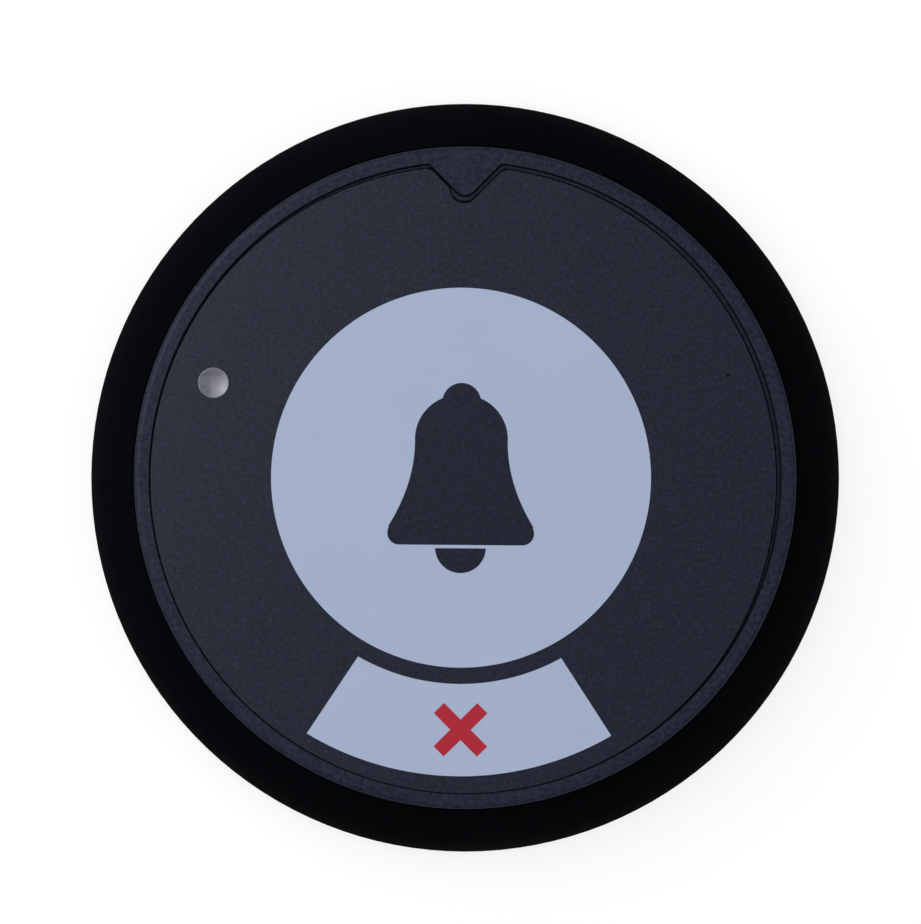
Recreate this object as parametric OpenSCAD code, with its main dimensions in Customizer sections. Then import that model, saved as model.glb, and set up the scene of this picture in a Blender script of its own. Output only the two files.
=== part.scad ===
// Waiter call button: a round table-top call transmitter with two film-covered keys.
// The part lies on a table, face up. +Z is up, +Y points to the locating tooth,
// and the origin is the middle of the underside.

/* [Body] */
// Diameter over the black lower ring
overall_d = 70; // [68:0.5:72]
// Height from the table to the top of the rim
overall_h = 16; // [15.6:0.1:18]
// Diameter of the grey top cover
face_d = 62; // [61:0.5:63]
// Wall thickness of the lower housing
housing_wall = 1.7; // [1.4:0.1:2]

/* [Film overlay] */
// Radius of the shallow pocket that takes the film
pocket_r = 29.65; // [29.4:0.05:29.9]
// Depth of the pocket below the rim
pocket_depth = 0.4; // [0.3:0.05:0.6]
// Thickness of the printed film
film_t = 0.25; // [0.15:0.05:0.3]
// Gap between the film's edge and the pocket wall
film_gap = 0.29; // [0.2:0.01:0.35]
// Reach of the V-shaped locating tooth into the pocket
tooth_reach = 3.16; // [2.5:0.02:3.6]
// Radius at the tip of the locating tooth
tooth_tip_r = 1; // [0.6:0.1:1.4]
// Radius of the round where the tooth's flanks meet the pocket's wall
tooth_foot_r = 0.6; // [0.3:0.1:0.8]

/* [Keys] */
// Radius of the round call field
call_r = 17.78; // [17:0.02:18]
// Inner radius of the cancel field
cancel_r_in = 19.31; // [19.2:0.01:19.6]
// Outer radius of the cancel field
cancel_r_out = 27.95; // [27:0.05:28.1]
// Angle of each side of the cancel field from straight down
cancel_side_deg = 33.3; // [25:0.1:35]
// Distance below the middle at which the cancel field's sides would meet
cancel_apex = 2.34; // [1:0.02:3]
// Travel of both keys
key_travel = 0.4; // [0.2:0.05:0.45]

/* [Indicator] */
// Diameter of the light window
window_d = 3; // [2.5:0.1:3.4]
// Position of the light window, left and right
window_x = -23.58; // [-24:0.02:-23]
// Position of the light window, up and down
window_y = 8.9; // [8:0.1:10]

/* [Twist mount] */
// Turn that frees the housing from its mounting base
twist_deg = 18; // [12:1:20]
// Distance between the two wall screws
screw_spacing = 30; // [28:1:34]
// Radius of each wall screw hole
screw_hole_r = 2.1; // [1.8:0.1:2.2]

/* [Hidden] */
$fn = 128;
// Overlap that carries a cut clear through a face
cut = 0.5;
// Gap round a sliding key, and the thinner one round its retaining hooks
slide_gap = 0.3;
hook_gap = 0.05;

// Colours, as the photograph shows them
grey_plastic = [0.155, 0.17, 0.225];
black_plastic = [0.03, 0.032, 0.042];
pale_print = [0.64, 0.685, 0.785];
window_plastic = [0.45, 0.45, 0.5, 0.8];
rubber = [0.05, 0.05, 0.05];
foam = [0.92, 0.92, 0.9];
steel = [0.75, 0.76, 0.78];
copper = [0.8, 0.5, 0.25];
board_green = [0.05, 0.33, 0.18];
chip_black = [0.08, 0.08, 0.09];
ceramic = [0.75, 0.66, 0.52];

// Heights, worked down from the rim and up from the table
disc_t = 0.8;
plate_z = 0.6;
plate_top = 2.6;
ring_z = 0.9;
floor_z = 2.9;
floor_top = 4.3;
ring_top = overall_h - 1.4;
deck_top = overall_h - pocket_depth;
deck_z = overall_h - 1.8;
collar_z = deck_z - 2.4;
board_t = 1;
board_top = overall_h - 5.8;
board_z = board_top - board_t;
switch_h = 3.1;
key_top = deck_top - 0.05;
key_t = 1.2;
key_skirt_z = key_top - 2.95;
hook_top = collar_z + 2;
post_z = board_top + switch_h + 0.03;
cell_h = 3.2;
cell_z = board_z - 0.7 - cell_h;

// Radii shared by pieces that nest
face_r = face_d / 2;
ring_r = overall_d / 2;
recess_r = face_r + 0.6;
plate_r = recess_r - slide_gap;
tongue_r = pocket_r - 0.15;
collar_wall = 1.2;
key_r = call_r - 0.18;
call_opening_r = key_r + slide_gap;
call_collar_r = call_opening_r + collar_wall;
boss_ring_r = 22.6;
boss_angles = [40, 140, 220, 320];
board_r = 27.6;
board_notch = 1;
cell_r = 10;
holder_r = 11.6;
well_r = holder_r + 0.6;
lug_angles = [90, 210, 330];
lug_r_in = 26.2;
lug_r_out = 28.2;
cancel_switch_y = -(cancel_r_in + cancel_r_out) / 2;
cancel_hook_reach = 21.4;

// ---------- shared outlines ----------

// Point on a circle
function polar(r, a) = [r * cos(a), r * sin(a)];

// Points of an arc about c, from angle a to angle b
function arc(c, r, a, b, steps = 12) =
  [for (i = [0 : steps]) c + polar(r, a + (b - a) * i / steps)];

// Flat wedge that opens downwards, its sides moved outwards by grow
module wedge(grow) {
  apex_y = -cancel_apex + grow / sin(cancel_side_deg);
  reach = 2 * ring_r;
  side = reach * [sin(cancel_side_deg), -cos(cancel_side_deg)];
  polygon([[0, apex_y], [side.x, apex_y + side.y], [-side.x, apex_y + side.y]]);
}

// Cancel field as a flat outline between two radii
module cancel_outline(r_in, r_out, grow) {
  intersection() {
    difference() {
      circle(r_out);
      circle(r_in);
    }
    wedge(grow);
  }
}

// V-shaped tooth that points inwards from the top of a circle of radius rim_r
module tooth_outline(rim_r, reach, grow) {
  tip_y = pocket_r - reach + tooth_tip_r;
  r = tooth_tip_r + grow;
  foot = r * sin(45);
  // Middle of the round that touches a flank and, from inside, the circle
  c_r = rim_r - tooth_foot_r;
  across = 2 * foot - tip_y + tooth_foot_r * sqrt(2);
  c_y = (sqrt(2 * c_r * c_r - across * across) - across) / 2;
  c = [c_y + across, c_y];
  lean = atan2(c.y, c.x);
  half = concat([[foot, tip_y - foot]], arc(c, tooth_foot_r, 135, lean, 6),
                [polar(rim_r + 1, lean)]);
  other = [for (i = [len(half) - 1 : -1 : 0]) [-half[i].x, half[i].y]];
  union() {
    translate([0, tip_y]) circle(r);
    polygon(concat(half, other));
  }
}

// Solid ring from r_in to r_out between two heights, over an angle
module ring_piece(r_in, r_out, z_low, z_high, from = 0, span = 360) {
  rotate([0, 0, from])
    rotate_extrude(angle = span)
      translate([r_in, z_low]) square([r_out - r_in, z_high - z_low]);
}

// Repeats its children at each angle of a list
module at_angles(angles) {
  for (a = angles) rotate([0, 0, a]) children();
}

// Puts its children at one retaining hook of the cancel key; side is 1 or -1
module at_cancel_hook(side, grow) {
  mirror([side < 0 ? 1 : 0, 0, 0])
    translate([0, -cancel_apex + grow / sin(cancel_side_deg), 0])
      rotate([0, 0, cancel_side_deg])
        translate([0, -cancel_hook_reach, 0]) children();
}

// ---------- mounting base ----------

module adhesive_disc() {
  color(foam)
    difference() {
      cylinder(h = disc_t, r = plate_r - 3.8);
      for (side = [-1, 1])
        translate([side * screw_spacing / 2, 0, -cut])
          cylinder(h = disc_t + 2 * cut, r = screw_hole_r + 1.4);
    }
}

// Bayonet lug: a post through the housing floor with a head that hooks inwards over it
module bayonet_lug() {
  ring_piece(lug_r_in + 0.8, lug_r_out, plate_top - cut, floor_top + 0.1, -5, 10);
  ring_piece(lug_r_in, lug_r_out, floor_top + 0.1, floor_top + 1.1, -5, 10);
}

// Countersunk hole for a wall screw
module wall_screw_hole() {
  cylinder(h = plate_top + cut, r = screw_hole_r);
  sink = plate_top - plate_z - 0.7;
  translate([0, 0, plate_top - sink])
    cylinder(h = sink + cut, r1 = screw_hole_r, r2 = screw_hole_r + sink + cut);
}

module mounting_base() {
  groove_r = plate_r - 1.9;
  color(black_plastic)
    difference() {
      union() {
        rotate_extrude()
          polygon([[0, plate_z], [plate_r - 0.3, plate_z], [plate_r, plate_z + 0.3],
                   [plate_r, plate_top - 0.3], [plate_r - 0.3, plate_top], [0, plate_top]]);
        at_angles(lug_angles) bayonet_lug();
        // Ring that keeps the cell in its holder
        ring_piece(6.8, 8, plate_top - cut, cell_z - 0.2);
        at_angles([0 : 60 : 300])
          translate([0, -0.5, plate_top - cut]) cube([7, 1, cut + 1]);
      }
      translate([0, 0, plate_z - cut]) cylinder(h = disc_t - plate_z + cut, r = plate_r - 3.7);
      for (side = [-1, 1]) translate([side * screw_spacing / 2, 0, 0]) wall_screw_hole();
      ring_piece(groove_r, groove_r + 1.2, plate_top - 0.9, plate_top + cut);
    }
}

module base_seal() {
  cord_r = 0.57;
  color(rubber)
    rotate_extrude()
      translate([plate_r - 1.3, floor_z - 0.03 - cord_r]) circle(cord_r);
}

// ---------- lower housing ----------

// Outer flank of the ring: a shallow arc from the foot up to the top cover
flank_low = [ring_r, floor_z - 0.4];
flank_high = [face_r + 0.25, ring_top];
flank_swell = 0.7;

// Points of the flank, bulged outwards from the straight line by flank_swell
function flank(steps = 16) = [
  for (i = [0 : steps])
    let (t = i / steps, bulge = 4 * flank_swell * t * (1 - t))
      [flank_low.x + (flank_high.x - flank_low.x) * t + bulge * 0.95,
       flank_low.y + (flank_high.y - flank_low.y) * t + bulge * 0.3]
];

module housing_shell() {
  foot_r = 0.5;
  inner_top = [tongue_r + 0.15, ring_top];
  inner_low = [ring_r - housing_wall - 0.1, floor_top];
  rotate_extrude()
    polygon(concat(
      [[well_r, floor_z], [recess_r, floor_z], [recess_r, ring_z]],
      arc([ring_r - foot_r, ring_z + foot_r], foot_r, -90, 0, 6),
      flank(),
      [inner_top, inner_low, [well_r + 1.2, floor_top],
       [well_r + 1.2, floor_top + 1], [well_r, floor_top + 1]]));
}

// Slot for a bayonet lug: narrow where the lug locks, wide where its head goes in
module bayonet_slot() {
  low = floor_z - cut;
  high = floor_top + cut;
  ring_piece(lug_r_in + 0.65, lug_r_out + 0.15, low, high, -twist_deg - 6.5, twist_deg + 13);
  ring_piece(lug_r_in - 0.2, lug_r_out + 0.15, low, high, -twist_deg - 6.5, 13);
}

// Boss for a case screw, with its head in a counterbore reached from below
module housing_boss() {
  translate([boss_ring_r, 0, floor_z]) {
    cylinder(h = 3.4, r = 2.9);
    cylinder(h = board_z - floor_z, r = 2.3);
  }
}

module housing_boss_bore() {
  translate([boss_ring_r, 0, floor_z - cut]) {
    cylinder(h = 2.4 + cut, r = 2.1);
    cylinder(h = board_z - floor_z + 2 * cut, r = 1.2);
  }
}

// Gusset in the corner between the floor and the wall
module gusset() {
  rotate([90, 0, 0])
    translate([0, 0, -0.5])
      linear_extrude(1)
        polygon([[ring_r - housing_wall - 3.4, floor_top - 0.2], [ring_r - 0.9, floor_top - 0.2],
                 [ring_r - 1.4, floor_top + 3.6], [ring_r - housing_wall - 0.9, floor_top + 3.6]]);
}

// Rib on the wall that the board's notch slides down over
module board_rib() {
  x = board_r - board_notch + slide_gap;
  rotate([90, 0, 0])
    translate([0, 0, -1.2])
      linear_extrude(2.4)
        polygon([[x, floor_top - 0.2], [ring_r - housing_wall + 0.3, floor_top - 0.2],
                 [tongue_r + 2.1, board_top + 0.2], [x, board_top + 0.2]]);
}

module base_housing() {
  color(black_plastic)
    difference() {
      union() {
        housing_shell();
        at_angles(boss_angles) housing_boss();
        at_angles([20 : 40 : 340]) gusset();
        board_rib();
      }
      at_angles(boss_angles) housing_boss_bore();
      at_angles(lug_angles) bayonet_slot();
    }
}

// ---------- top cover ----------

module cover_shell() {
  edge_r = 0.5;
  skirt_r = tongue_r - 1.3;
  rotate_extrude()
    polygon(concat(
      [[0, deck_z], [skirt_r, deck_z], [skirt_r, collar_z], [tongue_r - 0.3, collar_z],
       [tongue_r, collar_z + 0.4], [tongue_r, ring_top], [face_r - 0.2, ring_top],
       [face_r, ring_top + 0.2]],
      arc([face_r - edge_r, overall_h - edge_r], edge_r, 0, 90, 8),
      [[0, overall_h]]));
}

module call_collar() {
  ring_piece(call_opening_r, call_collar_r, collar_z, deck_z + cut);
}

module cancel_collar() {
  translate([0, 0, collar_z])
    linear_extrude(deck_z + cut - collar_z)
      cancel_outline(call_collar_r - 0.3, tongue_r - 0.5, slide_gap + collar_wall);
}

// Boss that takes a case screw and presses the board down
module cover_boss() {
  translate([boss_ring_r, 0, board_top]) cylinder(h = deck_z + cut - board_top, r = 2.3);
  // Rib from the boss out to the skirt
  translate([boss_ring_r, -0.5, deck_z - 1.6]) cube([tongue_r - 1 - boss_ring_r, 1, 1.6 + cut]);
}

module light_tube() {
  translate([window_x, window_y, board_top + 2.2])
    cylinder(h = deck_z + cut - board_top - 2.2, r = window_d / 2 + 0.9);
}

// Guide slots in the collars for the retaining hooks of the keys
module call_hook_slots() {
  at_angles(lug_angles)
    translate([call_opening_r - cut, -2.5, collar_z - cut])
      cube([collar_wall + 2 * cut, 5, hook_top + hook_gap - collar_z + cut]);
}

module cancel_hook_slots() {
  for (side = [-1, 1])
    at_cancel_hook(side, 0)
      translate([0, -1.8, collar_z - cut])
        cube([collar_wall + 1.5, 3.6, hook_top + hook_gap - collar_z + cut]);
}

module film_pocket() {
  translate([0, 0, deck_top])
    linear_extrude(pocket_depth + cut)
      difference() {
        circle(pocket_r);
        tooth_outline(pocket_r, tooth_reach, 0);
      }
}

module top_cover() {
  color(grey_plastic)
    difference() {
      union() {
        cover_shell();
        call_collar();
        cancel_collar();
        at_angles(boss_angles) cover_boss();
        light_tube();
      }
      film_pocket();
      translate([0, 0, collar_z - cut])
        cylinder(h = overall_h - collar_z + 2 * cut, r = call_opening_r);
      translate([0, 0, collar_z - cut])
        linear_extrude(overall_h - collar_z + 2 * cut)
          cancel_outline(call_collar_r, cancel_r_out + 0.15, 0.2);
      call_hook_slots();
      cancel_hook_slots();
      translate([window_x, window_y, board_top])
        cylinder(h = overall_h - board_top, r = window_d / 2);
      at_angles(boss_angles)
        translate([boss_ring_r, 0, board_top - cut])
          cylinder(h = deck_z - 0.2 - board_top + cut, r = 0.9);
    }
}

// ---------- film and window ----------

module film_outline() {
  difference() {
    circle(pocket_r - film_gap);
    tooth_outline(pocket_r - film_gap, tooth_reach + 0.2, film_gap);
    translate([window_x, window_y]) circle(window_d / 2);
  }
}

// One sheet; the two pale fields are printed on it
module overlay_film() {
  translate([0, 0, deck_top]) {
    color(grey_plastic)
      linear_extrude(film_t)
        difference() {
          film_outline();
          circle(call_r);
          cancel_outline(cancel_r_in, cancel_r_out, 0);
        }
    color(pale_print) {
      cylinder(h = film_t, r = call_r);
      linear_extrude(film_t) cancel_outline(cancel_r_in, cancel_r_out, 0);
    }
  }
}

// Clear plug that carries the lamp's light up to the face, with a dished top
module light_window() {
  r = window_d / 2 - 0.04;
  top = deck_top + film_t - 0.02;
  dish_r = 4;
  color(window_plastic)
    translate([window_x, window_y, 0])
      difference() {
        translate([0, 0, board_top + 2.3]) cylinder(h = top - board_top - 2.3, r = r);
        translate([0, 0, top + dish_r - 0.22]) sphere(dish_r);
      }
}

module case_screws() {
  head_z = floor_z + 2.4 - 1.3;
  color(steel)
    at_angles(boss_angles)
      translate([boss_ring_r, 0, 0]) {
        translate([0, 0, head_z]) cylinder(h = 1.3, r = 1.8);
        translate([0, 0, head_z + 1.2]) cylinder(h = deck_z - 0.8 - head_z - 1.2, r = 1);
      }
}

// ---------- keys ----------

// Post under a key that stands on its switch, with cross ribs
module key_post(rib_l) {
  translate([0, 0, post_z]) cylinder(h = key_top - post_z - 0.4, r = 2.1);
  at_angles([45 : 90 : 315])
    translate([0, -0.4, post_z + 0.1]) cube([rib_l, 0.8, key_top - key_t + 0.2 - post_z - 0.1]);
}

module call_key() {
  color(grey_plastic) {
    rotate_extrude()
      polygon([[0, key_top - key_t], [key_r - 1, key_top - key_t], [key_r - 1, key_skirt_z],
               [key_r, key_skirt_z], [key_r, key_top - 0.2], [key_r - 0.2, key_top],
               [0, key_top]]);
    key_post(key_r - 0.5);
    at_angles(lug_angles)
      translate([key_r - 0.6, -2.5 + slide_gap, key_skirt_z])
        cube([call_collar_r - key_r + 0.4, 5 - 2 * slide_gap, hook_top - key_skirt_z]);
  }
}

module cancel_key() {
  in_r = call_collar_r + slide_gap;
  out_r = cancel_r_out + 0.15 - slide_gap;
  color(grey_plastic) {
    difference() {
      translate([0, 0, key_skirt_z])
        linear_extrude(key_top - key_skirt_z) cancel_outline(in_r, out_r, 0.2 - slide_gap);
      translate([0, 0, key_skirt_z - cut])
        linear_extrude(key_top - key_t - key_skirt_z + cut)
          cancel_outline(in_r + 0.7, out_r - 0.7, 0.2 - slide_gap - 0.7);
    }
    translate([0, cancel_switch_y, 0]) {
      translate([0, 0, post_z]) cylinder(h = key_top - post_z - 0.4, r = 2.1);
      translate([-9, -0.4, post_z + 0.1])
        cube([18, 0.8, key_top - key_t + 0.2 - post_z - 0.1]);
    }
    for (side = [-1, 1])
      at_cancel_hook(side, 0)
        translate([-0.6, -1.8 + slide_gap, key_skirt_z])
          cube([1.9, 3.6 - 2 * slide_gap, hook_top - key_skirt_z]);
  }
}

// ---------- circuit board ----------

module circuit_board() {
  color(board_green)
    difference() {
      translate([0, 0, board_z]) cylinder(h = board_t, r = board_r);
      at_angles(boss_angles)
        translate([boss_ring_r, 0, board_z - cut]) cylinder(h = board_t + 2 * cut, r = 1.3);
      // Notch that keys the board to the housing
      translate([board_r - board_notch, -1.5, board_z - cut])
        cube([board_notch + 1, 3, board_t + 2 * cut]);
    }
}

// Copper loop round the board's edge
module antenna_track() {
  color(copper) {
    ring_piece(25.6, 26.6, board_top, board_top + 0.07, 6, 128);
    rotate([0, 0, 6]) translate([22.5, 0, board_top]) cube([3.6, 1, 0.07]);
  }
}

// ---------- switches: a 6 mm square tactile switch, 3.1 mm high ----------

switch_w = 6;
switch_base_h = 2.2;
well_floor = 0.7;

module switch_base() {
  color(chip_black)
    difference() {
      translate([-switch_w / 2, -switch_w / 2, 0]) cube([switch_w, switch_w, switch_base_h]);
      translate([0, 0, well_floor]) cylinder(h = switch_base_h, r = 2.6);
    }
}

module switch_cover() {
  color(steel)
    difference() {
      union() {
        translate([-switch_w / 2, -switch_w / 2, switch_base_h]) cube([switch_w, switch_w, 0.3]);
        for (side = [-1, 1])
          translate([-1.6, side * (switch_w / 2 + 0.07) - 0.07, 1])
            cube([3.2, 0.14, switch_base_h - 0.7]);
      }
      translate([0, 0, switch_base_h - cut]) cylinder(h = 1 + cut, r = 1.85);
    }
}

// Snap dome: a thin spherical cap that the stem presses nearly flat
module switch_dome() {
  r = 2.4;
  rise = key_travel + 0.2;
  ball_r = (r * r + rise * rise) / (2 * rise);
  t = 0.1;
  edge = asin(r / ball_r);
  c = [0, well_floor + 0.02 + rise - ball_r];
  color(steel)
    rotate_extrude()
      polygon(concat(arc(c, ball_r, 90 - edge, 90, 10), arc(c, ball_r + t, 90, 90 - edge, 10)));
}

module switch_stem() {
  color(chip_black) {
    translate([0, 0, 1.5]) cylinder(h = 0.65, r = 2.3);
    translate([0, 0, 1.5]) cylinder(h = switch_h - 1.5, r = 1.7);
  }
}

module switch_legs() {
  profile = [[2.6, 0.9], [3.3, 0.9], [3.5, 0.7], [3.5, 0.2], [4.4, 0.2], [4.4, 0],
             [3.3, 0], [3.3, 0.7], [2.6, 0.7]];
  color(steel)
    for (sx = [0, 1], y = [-2.25, 2.25])
      mirror([sx, 0, 0])
        translate([0.4, y + 0.35, 0]) rotate([90, 0, 0]) linear_extrude(0.7) polygon(profile);
}

module at_call_switch() {
  translate([0, 0, board_top]) children();
}

module at_cancel_switch() {
  translate([0, cancel_switch_y, board_top]) children();
}

module call_switch_base() { at_call_switch() switch_base(); }
module call_switch_cover() { at_call_switch() switch_cover(); }
module call_switch_dome() { at_call_switch() switch_dome(); }
module call_switch_stem() { at_call_switch() switch_stem(); }
module call_switch_legs() { at_call_switch() switch_legs(); }
module cancel_switch_base() { at_cancel_switch() switch_base(); }
module cancel_switch_cover() { at_cancel_switch() switch_cover(); }
module cancel_switch_dome() { at_cancel_switch() switch_dome(); }
module cancel_switch_stem() { at_cancel_switch() switch_stem(); }
module cancel_switch_legs() { at_cancel_switch() switch_legs(); }

// ---------- parts on the board ----------

// Puts its children on the board at x, y, turned by turn
module on_board(x, y, turn = 0) {
  translate([x, y, board_top]) rotate([0, 0, turn]) children();
}

// Block centred in plan, standing on height z
module block(size, z = 0) {
  translate([-size.x / 2, -size.y / 2, z]) cube(size);
}

module indicator_led() {
  color(ceramic)
    on_board(window_x, window_y, atan2(window_y, window_x)) {
      block([2.6, 3.2, 1.4]);
      translate([0, 0, 1.2]) cylinder(h = 0.7, r = 1.1);
    }
}

chip_place = [-9, -8.5, 0];
chip_size = [8.7, 3.9, 1.45];
lead_pitch = 1.27;

module controller_chip() {
  color(chip_black)
    on_board(chip_place.x, chip_place.y)
      difference() {
        block(chip_size, 0.15);
        // Dot that marks the first lead
        translate([-chip_size.x / 2 + 0.8, -chip_size.y / 2 + 0.8, chip_size.z])
          cylinder(h = 1, r = 0.35);
      }
}

module controller_leads() {
  y0 = chip_size.y / 2;
  profile = [[y0, 0.8], [y0 + 0.35, 0.8], [y0 + 0.5, 0.65], [y0 + 0.5, 0.2], [y0 + 1.1, 0.2],
             [y0 + 1.1, 0], [y0 + 0.3, 0], [y0 + 0.3, 0.6], [y0, 0.6]];
  color(steel)
    on_board(chip_place.x, chip_place.y)
      for (turn = [0, 180], i = [-3 : 3])
        rotate([0, 0, turn])
          translate([i * lead_pitch - 0.2, 0, 0])
            rotate([90, 0, 90]) linear_extrude(0.4) polygon(profile);
}

module radio_chip() {
  color(chip_black)
    on_board(8.5, -9.5, 90) {
      block([2.9, 1.6, 1.1]);
      for (x = [-0.95, 0, 0.95]) translate([x, 0, 0]) block([0.4, 2.8, 0.15]);
    }
}

module radio_crystal() {
  color(steel)
    on_board(11, 7, 40) {
      block([5, 3.2, 0.5]);
      block([4.6, 2.8, 1.2]);
    }
}

// Small two-ended chip: x, y and turn of each one
resistor_places = [[-12, 5, 90], [-10, 5, 90], [-8, 9, 0], [4, -11, 0], [13, -2, 90]];
capacitor_places = [[-3, -10.5, 0], [-14, 1, 90], [6, 10, 130], [13, -6, 90]];

module chip_resistors() {
  color(chip_black)
    for (p = resistor_places) on_board(p.x, p.y, p.z) block([1.6, 0.8, 0.45]);
}

module chip_capacitors() {
  color(ceramic)
    for (p = capacitor_places) on_board(p.x, p.y, p.z) block([2, 1.25, 0.9]);
}

// ---------- battery ----------

gap_deg = 32;
// Middles of the two claws, and half the angle that each one's wall takes
claw_angles = [130, 230];
claw_half = 30;

// Ring that the cell snaps into from below, open at one side for a fingertip
module battery_holder() {
  color(chip_black)
    difference() {
      union() {
        ring_piece(cell_r + 0.15, holder_r, cell_z - 0.6, board_z, gap_deg, 360 - 2 * gap_deg);
        for (a = claw_angles)
          ring_piece(cell_r - 0.6, cell_r + 0.7, cell_z - 0.45, cell_z - 0.05, a - 20, 40);
      }
      // Windows beside the claws, which let them spring outwards
      ring_piece(cell_r - 1, holder_r + 1, cell_z - 1, cell_z + 0.5, -100, 200);
      ring_piece(cell_r - 1, holder_r + 1, cell_z - 1, cell_z + 0.5,
                 claw_angles[0] + claw_half, claw_angles[1] - claw_angles[0] - 2 * claw_half);
    }
}

module battery_cell() {
  color(steel)
    rotate_extrude()
      polygon([[0, cell_z], [cell_r - 0.4, cell_z], [cell_r, cell_z + 0.4],
               [cell_r, cell_z + cell_h - 0.5], [cell_r - 0.3, cell_z + cell_h - 0.3],
               [cell_r - 0.8, cell_z + cell_h - 0.3], [cell_r - 1.1, cell_z + cell_h],
               [0, cell_z + cell_h]]);
}

// Leaf spring that bears on the side of the cell
module positive_contact() {
  color(steel) {
    ring_piece(cell_r + 0.02, cell_r + 0.27, cell_z + 0.7, board_z, -20, 40);
    ring_piece(cell_r + 0.02, holder_r, board_z - 0.2, board_z, -8, 16);
  }
}

// Three sprung fingers that bear on the cap of the cell
module negative_contact() {
  cap_z = cell_z + cell_h;
  profile = [[1, board_z], [1, board_z - 0.2], [3, board_z - 0.2], [6.8, cap_z + 0.02],
             [7.6, cap_z + 0.1], [7.6, cap_z + 0.27], [6.8, cap_z + 0.2], [3.1, board_z]];
  color(steel) {
    translate([0, 0, board_z - 0.2]) cylinder(h = 0.2, r = 1.6);
    at_angles([30, 150, 270])
      translate([0, 1, 0]) rotate([90, 0, 0]) linear_extrude(2) polygon(profile);
  }
}

adhesive_disc();
mounting_base();
base_seal();
base_housing();
top_cover();
overlay_film();
light_window();
case_screws();
call_key();
cancel_key();
circuit_board();
antenna_track();
call_switch_base();
call_switch_cover();
call_switch_dome();
call_switch_stem();
call_switch_legs();
cancel_switch_base();
cancel_switch_cover();
cancel_switch_dome();
cancel_switch_stem();
cancel_switch_legs();
indicator_led();
controller_chip();
controller_leads();
radio_chip();
radio_crystal();
chip_resistors();
chip_capacitors();
battery_holder();
battery_cell();
positive_contact();
negative_contact();
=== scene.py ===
# Waiter call button, dressed for looks. The pieces follow the order in which the button
# is put together, from the tape on the table to the film on its face.
import math

import bpy
import numpy as np
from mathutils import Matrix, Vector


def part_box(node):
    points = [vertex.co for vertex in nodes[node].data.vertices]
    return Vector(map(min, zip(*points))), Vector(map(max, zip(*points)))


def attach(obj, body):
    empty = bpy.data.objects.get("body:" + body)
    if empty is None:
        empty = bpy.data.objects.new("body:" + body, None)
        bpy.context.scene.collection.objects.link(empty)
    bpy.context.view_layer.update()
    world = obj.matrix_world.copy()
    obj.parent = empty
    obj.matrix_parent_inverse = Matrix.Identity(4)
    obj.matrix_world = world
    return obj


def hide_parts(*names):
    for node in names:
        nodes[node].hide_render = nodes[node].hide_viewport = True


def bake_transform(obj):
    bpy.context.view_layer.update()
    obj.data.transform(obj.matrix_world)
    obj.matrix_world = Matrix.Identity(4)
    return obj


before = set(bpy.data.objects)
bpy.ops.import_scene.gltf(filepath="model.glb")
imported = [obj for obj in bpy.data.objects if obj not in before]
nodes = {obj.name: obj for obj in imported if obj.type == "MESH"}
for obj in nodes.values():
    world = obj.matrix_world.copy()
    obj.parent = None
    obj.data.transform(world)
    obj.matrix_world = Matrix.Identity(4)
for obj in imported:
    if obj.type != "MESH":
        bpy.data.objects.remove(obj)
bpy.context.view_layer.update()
mm = 0.001

# ---------------------------------------------------------------------------
# Adhesive disc: a die-cut disc of closed-cell foam tape, white with a faint
# pore pattern. It sticks the mounting base to the table.
# ---------------------------------------------------------------------------


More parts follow.
